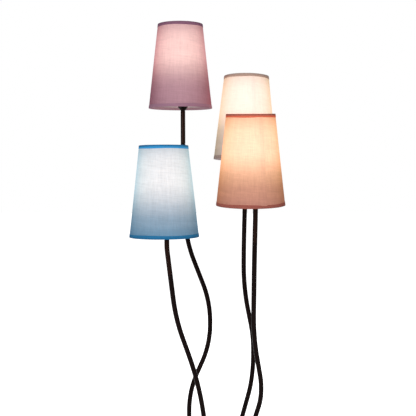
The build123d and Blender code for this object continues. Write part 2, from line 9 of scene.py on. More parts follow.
import bpy
import numpy as np
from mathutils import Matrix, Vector

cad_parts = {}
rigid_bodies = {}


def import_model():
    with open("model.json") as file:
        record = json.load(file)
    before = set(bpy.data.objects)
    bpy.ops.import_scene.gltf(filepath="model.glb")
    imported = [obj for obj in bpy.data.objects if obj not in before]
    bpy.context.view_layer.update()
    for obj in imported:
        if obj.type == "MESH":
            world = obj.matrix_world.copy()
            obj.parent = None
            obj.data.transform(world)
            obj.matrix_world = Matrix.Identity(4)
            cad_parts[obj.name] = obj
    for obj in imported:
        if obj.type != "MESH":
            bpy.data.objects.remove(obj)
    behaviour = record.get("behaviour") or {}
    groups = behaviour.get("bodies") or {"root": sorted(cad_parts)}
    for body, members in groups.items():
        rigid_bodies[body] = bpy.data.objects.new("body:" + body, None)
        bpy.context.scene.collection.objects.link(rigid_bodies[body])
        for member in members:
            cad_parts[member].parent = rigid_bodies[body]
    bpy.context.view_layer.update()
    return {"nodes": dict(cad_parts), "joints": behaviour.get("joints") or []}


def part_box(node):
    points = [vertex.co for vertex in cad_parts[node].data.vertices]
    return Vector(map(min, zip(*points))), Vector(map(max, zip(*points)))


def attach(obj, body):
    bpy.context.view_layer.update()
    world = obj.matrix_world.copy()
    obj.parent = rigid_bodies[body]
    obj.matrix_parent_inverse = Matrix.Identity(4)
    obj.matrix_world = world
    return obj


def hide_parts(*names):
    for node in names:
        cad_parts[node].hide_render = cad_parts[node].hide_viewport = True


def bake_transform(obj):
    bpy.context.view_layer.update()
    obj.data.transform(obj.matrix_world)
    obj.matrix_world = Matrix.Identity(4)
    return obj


for thing in list(bpy.data.objects):
    bpy.data.objects.remove(thing)
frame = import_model()

# ---------------------------------------------------------------- sizes
# Tubes
TUBE_RADIUS = 0.0066  # with its powder coat, or the neck's sleeve
TUBE_SIDES = 32
NECK_LENGTH = 0.045  # of each of the two bending sections under a shade
SOCKET_OFFSET = 0.013  # of an arm's foot from the lamp's axis, across and along
BEND_SHARE = 0.47  # of the shorter run beside a bend that its arc takes up
ARM_STEP = 0.005  # between the rings of an arm's surface
NECK_STEP = 0.0015  # and of a sleeve's
ARC_POINTS = 24  # along each bend, before the rings are spaced

# Shades
SHADE_FOOT_RADIUS = 0.0894  # of the cloth's outer face
SHADE_TOP_RADIUS = 0.0628
SHADE_HEIGHT = 0.235
SHADE_DROP = 0.008  # the cup's tip hangs this far under the shade's lower edge
SHADE_SIDES = 240
CLOTH_THICKNESS = 0.0008
CLOTH_MARGIN = 0.0008  # the cloth stops this far inside the shade's ends
CLOTH_ROWS = 48
FILM_MARGIN = 0.0012
FILM_ROWS = 24
LAP_WIDTH = 0.012  # the cloth's end lies over its start by this much
LAP_STEP = 0.0005  # and this far outside it
LAP_RAMP = math.radians(35)  # the turn over which it climbs there
LAP_COLUMNS = 9  # more of the cloth's grid, for the lap
RIPPLE = 0.00025  # how far the cloth strays from a true cone
RIPPLE_COUNTS = (3, 7)  # waves round the shade, of the slow kind and the quick one
SLOW_PHASE = 5  # for each radian of the seam's place
QUICK_PHASE = 1.3
QUICK_SHARE = 0.6  # of the slow wave's height
TAPE_SWELL = 0.05  # how much wider a glued tape is in some places than on average
TAPE_SWELLS = 4  # such places round the shade
TAPE_PHASE = 3  # for each radian of the seam's place
TAPE_FREE_EDGE = 0.008  # what lies further than this from the shade's end moves with the swell
INSIDE_START = 0.001  # where a tape has turned in, its map starts this far past the shade's end
MM = 1000  # in a metre

# Each head: its shade's lean back and to the right in degrees, how far the shade hangs to the right
# of the holder, where its lap seam is, counted from the right towards the back, the arm's straight
# run out of the hub and its bends from there upwards.
HEADS = {
    "purple": dict(
        lean_back=0.5, lean_right=0.0, shade_shift=-0.007, seam_deg=118.0, hub_run=0.120,
        bends=[
            (-0.085, 0.035, 0.455), (-0.085, 0.047, 0.571), (-0.026, 0.063, 0.701),
            (-0.026, 0.077, 0.818), (-0.089, 0.094, 0.978), (-0.102, 0.105, 1.078),
        ],
    ),
    "blue": dict(
        lean_back=1.6, lean_right=-0.3, shade_shift=-0.0065, seam_deg=62.0, hub_run=0.230,
        bends=[(-0.053, -0.081, 0.621), (-0.116, -0.110, 0.809)],
    ),
    "white": dict(
        lean_back=3.8, lean_right=0.8, shade_shift=-0.0025, seam_deg=-80.0, hub_run=0.210,
        bends=[
            (0.037, 0.028, 0.405), (0.089, 0.051, 0.585), (0.096, 0.059, 0.645),
            (0.096, 0.068, 0.722), (0.069, 0.084, 0.859), (0.070, 0.095, 1.000),
        ],
    ),
    "orange": dict(
        lean_back=-2.7, lean_right=-0.3, shade_shift=-0.0125, seam_deg=-74.0, hub_run=0.170,
        bends=[
            (0.038, -0.027, 0.330), (0.110, -0.056, 0.577), (0.111, -0.062, 0.625),
            (0.088, -0.079, 0.757), (0.089, -0.093, 0.950),
        ],
    ),
}

# Each shade's cloth as it looks unlit, its glow where the bulb is far and near with the glow's
# strength and how steeply it fades, what one straight pass through the fibres lets by, how strong
# its slubs are, and its edge tapes at the top and at the foot and lit. Both ends carry the same
# tape: their top and foot colours differ only by painted light and shade, the mauve shade's foot
# tape painted lighter and the blue and orange shades' foot tapes painted darker.
CLOTHS = {
    "purple": dict(
        unlit="#BFA8AD", far_glow="#FFFAD0", near_glow="#FFFDD7", glow=0.81, fade=1.5,
        pass_through="#E3C7D2", slubs=1.0, top_tape="#7A566A", foot_tape="#967082",
        tape_glow="#B45070", tape_strength=0.10,
    ),
    "blue": dict(
        unlit="#538099", far_glow="#FFC8A8", near_glow="#FFCBAD", glow=1.29, fade=0.72,
        pass_through="#D4F1FF", slubs=0.9, top_tape="#226A9A", foot_tape="#22648E",
        tape_glow="#50B8F8", tape_strength=0.45,
    ),
    "white": dict(
        unlit="#C6BDC9", far_glow="#FFD9BC", near_glow="#FFDBD3", glow=0.78, fade=1.0,
        pass_through="#FBF7E5", slubs=0.6, top_tape="#A28C82", foot_tape="#A28E86",
        tape_glow="#E89058", tape_strength=0.2,
    ),
    "orange": dict(
        unlit="#B38480", far_glow="#FFDFA0", near_glow="#FFE0C6", glow=1.05, fade=1.0,
        pass_through="#FAEADA", slubs=1.0, top_tape="#A05A4C", foot_tape="#8F5248",
        tape_glow="#FF5C20", tape_strength=0.62,
    ),
}


# ---------------------------------------------------------------- vectors and meshes
def unit(vector):
    """The vector at length 1; rows of an array each."""
    vector = np.asarray(vector, float)
    return vector / np.linalg.norm(vector, axis=-1, keepdims=True)


def grid_mesh(name, points, around=True, along=False, u=None, v=None, outward=True, caps=False):
    """Quads over a grid of points whose rows run along the piece and whose columns run round it.

    Columns that turn left-handed about the rows' direction need outward=False. u and v are the
    map's values at the columns and rows, with one more for a column or row that closes a loop.
    """
    rows, columns = points.shape[:2]
    row, column = np.meshgrid(
        np.arange(rows if along else rows - 1),
        np.arange(columns if around else columns - 1),
        indexing="ij",
    )
    corner_row = np.stack([row, row, row + 1, row + 1], -1).reshape(-1, 4)
    corner_column = np.stack([column, column + 1, column + 1, column], -1).reshape(-1, 4)
    if not outward:
        corner_row, corner_column = corner_row[:, ::-1], corner_column[:, ::-1]
    faces = ((corner_row % rows) * columns + corner_column % columns).tolist()
    if caps:
        faces.append(list(range(columns))[::-1])
        faces.append(list(range((rows - 1) * columns, rows * columns)))
    mesh = bpy.data.meshes.new(name)
    mesh.from_pydata(points.reshape(-1, 3), [], faces)
    smooth = np.ones(len(faces), bool)
    if caps:
        smooth[-2:] = False
    mesh.polygons.foreach_set("use_smooth", smooth)
    if u is not None:
        layer = mesh.uv_layers.new(name="thread_map")
        places = np.stack([np.asarray(u)[corner_column], np.asarray(v)[corner_row]], -1)
        layer.data.foreach_set("uv", places.reshape(-1).astype(np.float32))
    mesh.update()
    return mesh


def add_piece(name, mesh, material, slot, *nodes):
    """A piece that stands for these nodes, not yet riding on a body."""
    piece = bpy.data.objects.new(name, mesh)
    bpy.context.scene.collection.objects.link(piece)
    mesh.materials.append(material)
    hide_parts(*nodes)
    return piece


# ---------------------------------------------------------------- materials
NOISE_LOW, NOISE_HIGH = 0.3, 0.7  # where noise mostly lies
MIX_LOW, MIX_HIGH, MIX_RESULT = 6, 7, 2  # sockets of a Mix node that mixes colours
BLOTCH_SIZE = 30  # of the slow changes of tone and gloss, in grains
BLOTCH_DETAIL = 2.0
GRAIN_DETAIL = 3.0
GRAIN_RELIEF = 0.35


def linear(hex_colour):
    """A colour in linear light from its hex value, by the sRGB standard's formula."""
    parts = np.array([int(hex_colour[i : i + 2], 16) for i in (1, 3, 5)]) / 255
    parts = np.where(parts <= 0.04045, parts / 12.92, ((parts + 0.055) / 1.055) ** 2.4)
    return (*parts, 1.0)


def add(tree, kind, inputs=None, **settings):
    """Adds a node with its settings; inputs are values for its sockets or the outputs that feed them."""
    node = tree.nodes.new(kind)
    for name, value in settings.items():
        setattr(node, name, value)
    for socket, value in (inputs or {}).items():
        if isinstance(value, bpy.types.NodeSocket):
            tree.links.new(value, node.inputs[socket])
        else:
            node.inputs[socket].default_value = value
    return node


def start_material(name, **sockets):
    """A new material, its node tree and its shader, with sockets set by name, _ for a blank."""
    material = bpy.data.materials.new(name)
    material.use_nodes = True
    tree = material.node_tree
    shader = tree.nodes["Principled BSDF"]
    for socket, value in sockets.items():
        shader.inputs[socket.replace("_", " ")].default_value = value
    return material, tree, shader


def maths(tree, operation, *values):
    """The result of a Math node on these values."""
    return add(tree, "ShaderNodeMath", dict(enumerate(values)), operation=operation).outputs[0]


def scale_value(tree, value, other):
    """The product of two values."""
    return maths(tree, "MULTIPLY", value, other)


def raise_surface(tree, shader, height, strength, depth):
    """Bumps the shader's surface: a height of 1 stands for this depth in metres, at full strength."""
    raised = add(tree, "ShaderNodeBump", {"Strength": strength, "Distance": depth, "Height": height})
    tree.links.new(raised.outputs[0], shader.inputs["Normal"])


def grain(tree, size, detail=BLOTCH_DETAIL):
    """Noise over the solid, with features of this size in metres."""
    place = add(tree, "ShaderNodeTexCoord").outputs["Object"]
    noise = add(tree, "ShaderNodeTexNoise", {"Vector": place, "Scale": 1 / size, "Detail": detail})
    return noise.outputs["Fac"]


def spread(tree, value, low, high):
    """A value from NOISE_LOW to NOISE_HIGH carried to low and high."""
    ends = {"From Min": NOISE_LOW, "From Max": NOISE_HIGH, "To Min": low, "To Max": high}
    return add(tree, "ShaderNodeMapRange", {"Value": value, **ends}).outputs[0]


def blend_colours(tree, factor, low, high):
    """From the colour low at factor 0 to high at 1."""
    values = {"Factor": factor, MIX_LOW: low, MIX_HIGH: high}
    return add(tree, "ShaderNodeMix", values, data_type="RGBA").outputs[MIX_RESULT]


def grained(name, low, high, size, rough, relief, specular=0.5, metallic=0.0, painted_highlight_tint="#FFFFFF"):
    """A moulded, cast, coated or plated surface: two close tones, uneven gloss and a fine grain.
    A highlight tint other than white is painted light, colouring the highlights.
    """
    material, tree, shader = start_material(
        name, Metallic=metallic, Specular_IOR_Level=specular, Specular_Tint=linear(painted_highlight_tint)
    )
    blotch = grain(tree, BLOTCH_SIZE * size)
    tone = blend_colours(tree, spread(tree, blotch, 0, 1), linear(low), linear(high))
    tree.links.new(tone, shader.inputs["Base Color"])
    tree.links.new(spread(tree, blotch, *rough), shader.inputs["Roughness"])
    raise_surface(tree, shader, grain(tree, size, GRAIN_DETAIL), GRAIN_RELIEF, relief)
    return material


def mocha_powder_coat():
    """Sprayed and baked polyester powder on steel: nearly black brown, satin, with orange peel.
    Its highlights are tinted warm: painted warm light from the lit shades.
    """
    return grained(
        "mocha_powder_coat", "#090404", "#0F0706",
        size=0.0009, rough=(0.24, 0.32), relief=0.00001, specular=0.1, painted_highlight_tint="#FFDCD8",
    )


def mocha_sleeve():
    """Smooth extruded PVC sleeve on a wound steel neck: the coat's brown, lighter and warmer,
    partly its own colour and partly painted warm light from the lit shades just above it. Its
    highlights are tinted warm: painted light too.
    """
    return grained(
        "mocha_sleeve", "#140A08", "#1B0D0A",
        size=0.0016, rough=(0.28, 0.36), relief=0.00001, specular=0.14, painted_highlight_tint="#FFCDBC",
    )


def black_thermoset():
    """Compression-moulded phenolic: black, fine matt texture from the tool."""
    return grained(
        "black_thermoset", "#100F0F", "#1B1918", size=0.0006, rough=(0.4, 0.55), relief=0.00005
    )


def white_shoulder():
    """Injection-moulded polycarbonate: the bulb's opaque white shoulder, slightly warm."""
    return grained(
        "white_shoulder", "#E6E1D8", "#F0ECE4", size=0.0012, rough=(0.35, 0.45), relief=0.00002
    )


def white_coated_wire():
    """Drawn steel wire with an epoxy coat: warm white, satin, a little uneven where it was dipped."""
    return grained(
        "white_coated_wire", "#DAD4CA", "#E8E3DA", size=0.0015, rough=(0.35, 0.5), relief=0.00005
    )


def sand_cast_iron():
    """Cast in sand and primed black: coarse grain, dull."""
    return grained(
        "sand_cast_iron", "#1C1B1A", "#2B2927", size=0.0016, rough=(0.7, 0.85), relief=0.0005
    )


def zinc_plated_steel():
    """Turned and pressed steel with a bright zinc coat: bluish grey, fine brushed haze."""
    return grained(
        "zinc_plated_steel", "#A9ABAC", "#C4C6C5",
        size=0.0008, rough=(0.28, 0.42), relief=0.00003, metallic=1.0,
    )


def foam_rubber():
    """Die-cut closed-cell foam: black, matt, pitted."""
    return grained(
        "foam_rubber", "#0E0E0E", "#191918", size=0.0011, rough=(0.85, 0.95), relief=0.0003
    )


def moulded_rubber():
    """Moulded rubber grommet: black, slightly shiny where it is handled."""
    return grained(
        "moulded_rubber", "#121212", "#1D1D1C", size=0.0009, rough=(0.55, 0.7), relief=0.00006
    )


def natural_nylon():
    """Injection-moulded nylon without pigment: milky, waxy."""
    return grained(
        "natural_nylon", "#D9D5C8", "#E6E2D6", size=0.0012, rough=(0.38, 0.5), relief=0.00004
    )


OPAL_CLOUDS = 0.02  # the size of its brighter and dimmer places
OPAL_GLOW = (1.3, 1.5)


def opal_glass_lit():
    """Blown opal glass over the light source: warm white, glowing a little unevenly."""
    material, tree, shader = start_material(
        "opal_glass_lit", Base_Color=linear("#F6EFE2"), Roughness=0.25, Emission_Color=linear("#FFE4BC")
    )
    glow = spread(tree, grain(tree, OPAL_CLOUDS), *OPAL_GLOW)
    tree.links.new(glow, shader.inputs["Emission Strength"])
    return material


# How bright the bulb makes the cloth, at equal steps from the shade's lower edge to its upper: dim
# beside the bulb's opaque shoulder, brightest beside its globe, and less towards the top
GLOW_STEPS = (0.03, 0.11, 0.23, 0.50, 0.83, 1.02, 0.98, 0.83, 0.50)


def height_glow(tree, height, fade):
    """The glow's strength at a height: the steps above, raised to the power fade."""
    share = add(tree, "ShaderNodeMapRange", {"Value": height, "From Max": SHADE_HEIGHT}).outputs[0]
    ramp = add(tree, "ShaderNodeValToRGB", {"Fac": share})
    ramp.color_ramp.interpolation = "CARDINAL"
    for _ in GLOW_STEPS[2:]:
        ramp.color_ramp.elements.new(0.5)  # its place is set below
    for number, (element, level) in enumerate(zip(ramp.color_ramp.elements, GLOW_STEPS)):
        element.position = number / (len(GLOW_STEPS) - 1)
        element.color = (level, level, level, 1)
    return maths(tree, "POWER", ramp.outputs["Color"], fade)


# Linen: threads of uneven thickness, drawn as streaks. Each kind's width and length in metres, how
# much of the whole it is and how far it wanders: real threads of half a millimetre, slubs of a few
# millimetres, and the bands of tighter and looser cloth between them.
THREAD_PITCH = 0.0006
STREAK_DETAIL, STREAK_ROUGHNESS = 2.0, 0.6
STREAKS = (
    (0.0011, 0.022, 0.34, 0.3),
    (0.0036, 0.045, 0.40, 0.8),
    (0.0130, 0.120, 0.26, 0.5),
)
CLOTH_SKEW = 0.07  # how far the weft climbs for each length it goes round


def threads(tree):
    """The cloth's own map as length round and height, and its uneven threads from about 0 to 1."""
    mapped = add(tree, "ShaderNodeUVMap", uv_map="thread_map").outputs[0]
    axes = add(tree, "ShaderNodeSeparateXYZ", {0: mapped})
    total = None
    for width, length, share, wander in STREAKS:
        for turned in (0.0, math.pi / 2 + CLOTH_SKEW):
            along = add(
                tree, "ShaderNodeVectorRotate", {"Vector": mapped, "Angle": turned},
                rotation_type="Z_AXIS",
            ).outputs[0]
            drawn = add(
                tree, "ShaderNodeMapping", {0: along, "Scale": (1 / width, 1 / length, 1)}
            ).outputs[0]
            noise = add(
                tree, "ShaderNodeTexNoise",
                {
                    "Vector": drawn, "Scale": 1.0, "Detail": STREAK_DETAIL,
                    "Roughness": STREAK_ROUGHNESS, "Distortion": wander,
                },
            ).outputs["Fac"]
            part = scale_value(tree, noise, share / 2)
            if total is None:
                total = part
            else:
                total = maths(tree, "ADD", total, part)
    return axes.outputs[0], axes.outputs[1], total


def woven(tree, across, up):
    """The relief of a plain weave, from -1 to 1: the product of one wave each way."""
    waves = []
    for axis in (across, up):
        turns = scale_value(tree, axis, math.pi / THREAD_PITCH)
        waves.append(maths(tree, "SINE", turns))
    return scale_value(tree, *waves)


FIBRE_SPECULAR = 0.12  # cloth has next to no gloss
WEAVE_RELIEF, WEAVE_DEPTH = 0.4, 0.0001  # the bump's strength, and its depth in metres
STREAK_HEIGHT = 4.0  # of the relief that the streaks give, against the weave's
GLOW_SWING = 0.26  # how far the glow strays from thread to thread where the slubs are 1
LINEN_CONTRAST = 0.2  # and the unlit colour
TAPE_CONTRAST = 0.12
LAP_GLOW = 0.9  # of the single cloth's


def tint_by_threads(tree, streaks, colour, contrast):
    """The unlit colour, a little lighter and darker from thread to thread."""
    base = np.array(linear(colour)[:3])
    dark, light = (*(base * (1 - contrast)), 1), (*(base * (1 + contrast)), 1)
    return blend_colours(tree, spread(tree, streaks, 0, 1), dark, light)


def lit_linen(name, cloth, lap_start):
    """Slubbed linen laminated on clear film and lit from behind: uneven threads show as streaks and
    the lap seam as a darker band. Its coat stands for the fibres' depth and has next to no gloss:
    light that leaves at a slant takes a longer way, so the cloth deepens towards its outline."""
    material, tree, shader = start_material(
        f"{name}_lit_linen", Roughness=0.92, Specular_IOR_Level=FIBRE_SPECULAR, Coat_Weight=1.0,
        Coat_IOR=1.1, Coat_Roughness=1.0, Coat_Tint=linear(cloth["pass_through"]),
    )
    across, up, streaks = threads(tree)
    level = height_glow(tree, up, cloth["fade"])
    double = maths(tree, "GREATER_THAN", across, lap_start)
    lap = add(tree, "ShaderNodeMapRange", {"Value": double, "To Min": 1.0, "To Max": LAP_GLOW}).outputs[0]
    swing = GLOW_SWING * cloth["slubs"]
    uneven = scale_value(tree, spread(tree, streaks, 1 - swing, 1 + swing), lap)
    strength = scale_value(tree, scale_value(tree, level, uneven), cloth["glow"])
    glow = blend_colours(tree, level, linear(cloth["far_glow"]), linear(cloth["near_glow"]))
    tree.links.new(glow, shader.inputs["Emission Color"])
    tree.links.new(strength, shader.inputs["Emission Strength"])
    unlit = tint_by_threads(tree, streaks, cloth["unlit"], LINEN_CONTRAST * cloth["slubs"])
    tree.links.new(unlit, shader.inputs["Base Color"])
    relief = maths(tree, "MULTIPLY_ADD", streaks, STREAK_HEIGHT, woven(tree, across, up))
    raise_surface(tree, shader, relief, WEAVE_RELIEF, WEAVE_DEPTH)
    return material


FILM_FADE = 0.55  # the film sees the bulb and its own far side, so it is lit more evenly
FILM_GLOW = 0.6
FILM_SWING = 0.04  # how far its glow strays from thread to thread
FILM_PALE = 0.4  # how much white is in its unlit colours
FILM_TINT = 0.5  # how much of the cloth's colour is in its surface
FILM_SHADE = 0.92  # its darker tone, of its lighter one


def lit_film(name, cloth):
    """The clear film on the cloth's inside, seen through the shade's ends: smooth, pale and lit."""
    material, tree, shader = start_material(f"{name}_lit_film", Roughness=0.45)
    _, up, streaks = threads(tree)
    level = height_glow(tree, up, FILM_FADE)
    unlit = np.array(linear(cloth["unlit"])[:3])
    far = (*(unlit * (1 - FILM_PALE) + FILM_PALE), 1)
    tree.links.new(blend_colours(tree, level, far, linear("#FFF0DC")), shader.inputs["Emission Color"])
    uneven = scale_value(tree, level, spread(tree, streaks, 1 - FILM_SWING, 1 + FILM_SWING))
    tree.links.new(scale_value(tree, uneven, FILM_GLOW), shader.inputs["Emission Strength"])
    light = unlit * FILM_TINT + FILM_PALE
    tone = blend_colours(tree, streaks, (*(light * FILM_SHADE), 1), (*light, 1))
    tree.links.new(tone, shader.inputs["Base Color"])
    return material


# A tape's distances from the shade's end: where the wire ring behind it ends, where all the light
# comes through, and past which it has turned in
RING_END, TAPE_CLEAR = 0.0035, 0.0055
TURNED_IN = -0.0005
INSIDE_LIFT = 0.2  # glow of the tape's turned-in edge, which is lit from inside


def edge_tape(name, cloth, end):
    """Bias-cut cotton tape glued over the shade's edges: matt and deeper than the cloth. The bulb
    shines through it where only the cloth is behind it, and not where the wire ring is. Its map's
    height runs past the shade's ends where the tape turns inwards."""
    material, tree, shader = start_material(
        f"{name}_{end}_edge_tape", Roughness=0.9, Specular_IOR_Level=FIBRE_SPECULAR
    )
    across, up, streaks = threads(tree)
    level = height_glow(tree, up, cloth["fade"])
    from_top = maths(tree, "SUBTRACT", SHADE_HEIGHT, up)
    from_edge = maths(tree, "MINIMUM", up, from_top)
    clear = add(
        tree, "ShaderNodeMapRange",
        {"Value": from_edge, "From Min": RING_END, "From Max": TAPE_CLEAR},
        interpolation_type="SMOOTHSTEP",
    ).outputs[0]
    outside = scale_value(tree, scale_value(tree, level, clear), cloth["tape_strength"])
    inside = maths(tree, "LESS_THAN", from_edge, TURNED_IN)
    strength = maths(tree, "MULTIPLY_ADD", inside, INSIDE_LIFT, outside)
    tree.links.new(strength, shader.inputs["Emission Strength"])
    lit = blend_colours(tree, inside, linear(cloth["tape_glow"]), linear(cloth["unlit"]))
    tree.links.new(lit, shader.inputs["Emission Color"])
    # Painted light and shade: the same tape is given a lighter or darker colour at the top than at the
    # foot
    unlit = tint_by_threads(tree, streaks, cloth[f"{end}_tape"], TAPE_CONTRAST)
    tree.links.new(unlit, shader.inputs["Base Color"])
    raise_surface(tree, shader, woven(tree, across, up), WEAVE_RELIEF, WEAVE_DEPTH)
    return material


# ---------------------------------------------------------------- arms and necks
def rounded_route(points):
    """Straight runs joined by tangent arcs. An arc starts BEND_SHARE of the shorter run before its
    corner, turns about the centre that lies square to that run, and ends as far behind the corner."""
    route = [points[0]]
    for before, corner, after in zip(points, points[1:], points[2:]):
        into, out_of = unit(corner - before), unit(after - corner)
        reach = BEND_SHARE * min(np.linalg.norm(corner - before), np.linalg.norm(after - corner))
        turn = math.acos(min(1.0, into @ out_of))
        radius = reach / math.tan(turn / 2)
        inward = unit(out_of - into * (into @ out_of))
        angle = np.linspace(0, turn, ARC_POINTS)[:, None]
        arc = radius * (np.sin(angle) * into + (1 - np.cos(angle)) * inward)
        route.extend(corner - into * reach + arc)
    route.append(points[-1])
    return np.array(route)


def even_route(route, step):
    """The same route with points about a step apart."""
    travelled = np.r_[0, np.cumsum(np.linalg.norm(np.diff(route, axis=0), axis=1))]
    count = max(2, round(travelled[-1] / step) + 1)
    places = np.linspace(0, travelled[-1], count)
    return np.stack([np.interp(places, travelled, route[:, axis]) for axis in range(3)], -1)


def tube_grid(route, radius):
    """Rings round a route: each is the circle of that radius square to the route's direction there,
    started from the side that is level and square to the Y axis."""
    direction = unit(np.gradient(route, axis=0))
    side = unit(np.cross((0, 1, 0), direction))
    lift = np.cross(direction, side)
    angle = np.linspace(0, 2 * math.pi, TUBE_SIDES, endpoint=False)[None, :, None]
    return route[:, None] + radius * (np.cos(angle) * side[:, None] + np.sin(angle) * lift[:, None])


class Head:
    """Where one arm ends and how its shade stands, from its two joints and its lean."""

    def __init__(self, name, lean_back, lean_right, shade_shift, seam_deg, hub_run, bends):
        joints = {joint["name"]: np.array(joint["pos_m"]) for joint in frame["joints"]}
        corner, lower_middle = joints[f"{name}_lean"], joints[f"{name}_tilt"]
        self.up = unit([math.tan(math.radians(lean_right)), math.tan(math.radians(lean_back)), 1.0])
        self.right = unit(np.array([1.0, 0, 0]) - self.up * self.up[0])
        self.back = np.cross(self.up, self.right)
        self.tip = corner + self.up * NECK_LENGTH / 2
        self.shade_foot = self.tip + self.up * SHADE_DROP + self.right * shade_shift
        self.seam = math.radians(seam_deg)
        along = unit(corner - lower_middle)
        self.neck_middle = corner - along * NECK_LENGTH / 2
        self.neck_foot = self.neck_middle - along * NECK_LENGTH
        self.corner = corner
        side = np.sign(np.array(bends[0][:2]))
        foot = np.array([*(SOCKET_OFFSET * side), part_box(f"{name}_arm")[0].z])
        leaves_hub = foot + [0, 0, hub_run]
        self.arm = [foot, leaves_hub, *np.array(bends), self.neck_foot]

    def ring(self, radius, height, angle):
        """Points at this radius, height and angle about the shade's axis; arrays broadcast."""
        radius, height, angle = np.broadcast_arrays(radius, height, angle)
        return (
            self.shade_foot
            + (radius * np.cos(angle))[..., None] * self.right
            + (radius * np.sin(angle))[..., None] * self.back
            + height[..., None] * self.up
        )


def add_arm(name, head, coat, sleeve):
    """The arm's tube on the stand, and the neck's two sections."""
    arm_route = even_route(rounded_route(head.arm), ARM_STEP)
    arm = grid_mesh(f"{name}_arm_tube", tube_grid(arm_route, TUBE_RADIUS), caps=True)
    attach(add_piece(f"{name}_arm_tube", arm, coat, "brown_paint", f"{name}_arm"), "stand")

    lower_route = even_route(np.array([head.neck_foot, head.neck_middle]), NECK_STEP)
    lower = grid_mesh(f"{name}_lower_sleeve", tube_grid(lower_route, TUBE_RADIUS), caps=True)
    piece = add_piece(f"{name}_lower_sleeve", lower, sleeve, "neck_sleeve", f"{name}_neck_lower")
    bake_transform(piece)

    upper_route = even_route(rounded_route([head.neck_middle, head.corner, head.tip]), NECK_STEP)
    upper = grid_mesh(f"{name}_upper_sleeve", tube_grid(upper_route, TUBE_RADIUS), caps=True)
    piece = add_piece(f"{name}_upper_sleeve", upper, sleeve, "neck_sleeve", f"{name}_neck_upper")
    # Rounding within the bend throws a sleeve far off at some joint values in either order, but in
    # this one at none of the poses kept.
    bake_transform(piece)


# ---------------------------------------------------------------- shades
def cone_radius(height):
    """The cloth's outer radius at a height above the shade's lower edge."""
    return SHADE_FOOT_RADIUS + (SHADE_TOP_RADIUS - SHADE_FOOT_RADIUS) * height / SHADE_HEIGHT


MEAN_RADIUS = cone_radius(SHADE_HEIGHT / 2)
LAP_TURN = LAP_WIDTH / MEAN_RADIUS


def add_cloth(name, head, cloth):
    """A cone's surface, radius r(h), that turns a little more than once: over the last of the turn it
    climbs by LAP_STEP onto its own start. A few slow waves round it stray by RIPPLE."""
    turn = np.linspace(0, 2 * math.pi + LAP_TURN, SHADE_SIDES + LAP_COLUMNS)[None, :]
    height = np.linspace(CLOTH_MARGIN, SHADE_HEIGHT - CLOTH_MARGIN, CLOTH_ROWS)[:, None]
    climb = np.clip((turn - (2 * math.pi - LAP_RAMP)) / LAP_RAMP, 0, 1)
    climb = LAP_STEP * climb * climb * (3 - 2 * climb)
    belly = np.sin(math.pi * height / SHADE_HEIGHT)
    slow = np.sin(RIPPLE_COUNTS[0] * turn + SLOW_PHASE * head.seam)
    quick = np.sin(RIPPLE_COUNTS[1] * turn + QUICK_PHASE)
    wave = RIPPLE * belly * (slow + QUICK_SHARE * quick)
    points = head.ring(cone_radius(height) + climb + wave, height, head.seam + turn)
    mesh = grid_mesh(f"{name}_cloth", points, around=False, u=MEAN_RADIUS * turn[0], v=height[:, 0])
    linen = lit_linen(name, cloth, MEAN_RADIUS * 2 * math.pi)
    piece = add_piece(f"{name}_cloth", mesh, linen, f"{name}_cloth", f"{name}_shade_cloth")
    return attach(piece, f"{name}_head")


def add_film(name, head, cloth):
    """The same cone, inside the cloth by its thickness, facing inwards."""
    turn = np.linspace(0, 2 * math.pi, SHADE_SIDES, endpoint=False)[None, :]
    height = np.linspace(FILM_MARGIN, SHADE_HEIGHT - FILM_MARGIN, FILM_ROWS)[:, None]
    points = head.ring(cone_radius(height) - CLOTH_THICKNESS, height, head.seam + turn)
    u = MEAN_RADIUS * np.linspace(0, 2 * math.pi, SHADE_SIDES + 1)
    mesh = grid_mesh(f"{name}_film", points, u=u, v=height[:, 0], outward=False)
    piece = add_piece(
        f"{name}_film", mesh, lit_film(name, cloth), f"{name}_cloth", f"{name}_shade_cloth"
    )
    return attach(piece, f"{name}_head")


# The tape's section at the lower edge: distance outside the cloth's face and height, in mm, up the
# outside, over the cloth's face, and down the inside round the wire ring
TAPE_SECTION = (
    (-0.6, 0.0), (0.3, 0.25), (0.55, 0.9), (0.6, 2.4), (0.58, 5.5), (0.5, 8.6), (0.36, 9.05),
    (0.0, 9.1), (-1.0, 8.2), (-1.35, 7.6), (-1.45, 5.6), (-2.4, 4.4), (-3.7, 3.4), (-4.3, 2.1),
    (-4.1, 0.8), (-3.5, 0.15), (-2.6, -0.05),
)
TURN_IN = 8  # the first of its points that lies inside the shade


def add_tapes(name, head, cloth):
    """Both edge tapes: one closed section carried round the shade's axis at each end."""
    pieces = []
    section = np.array(TAPE_SECTION) / MM
    turn = np.linspace(0, 2 * math.pi, SHADE_SIDES, endpoint=False)[None, :]
    u = MEAN_RADIUS * np.linspace(0, 2 * math.pi, SHADE_SIDES + 1)
    for end, edge, inward in (("foot", 0.0, 1), ("top", SHADE_HEIGHT, -1)):
        height = edge + inward * section[:, 1:]
        # The glued tape is a little wider in some places than in others
        swell = TAPE_SWELL * np.sin(TAPE_SWELLS * turn + TAPE_PHASE * head.seam + edge)
        width = 1 + swell * (section[:, 1:] > TAPE_FREE_EDGE)
        place = edge + (height - edge) * width
        points = head.ring(cone_radius(height) + section[:, :1], place, turn)
        outer_side = np.arange(len(section)) < TURN_IN
        v = edge + inward * np.where(outer_side, section[:, 1], -INSIDE_START - section[:, 1])
        v = np.r_[v, v[0]]
        mesh = grid_mesh(f"{name}_{end}_tape", points, along=True, u=u, v=v, outward=inward > 0)
        tape = edge_tape(name, cloth, end)
        piece = add_piece(f"{name}_{end}_tape", mesh, tape, f"{name}_trim", f"{name}_shade_trims")
        pieces.append(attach(piece, f"{name}_head"))
    return pieces


def add_shade(name, head, cloth):
    """The cloth as a stretched sheet, cut as a ring's sector, with its film and its edge tapes."""
    face = add_cloth(name, head, cloth)
    others = [add_film(name, head, cloth), *add_tapes(name, head, cloth)]


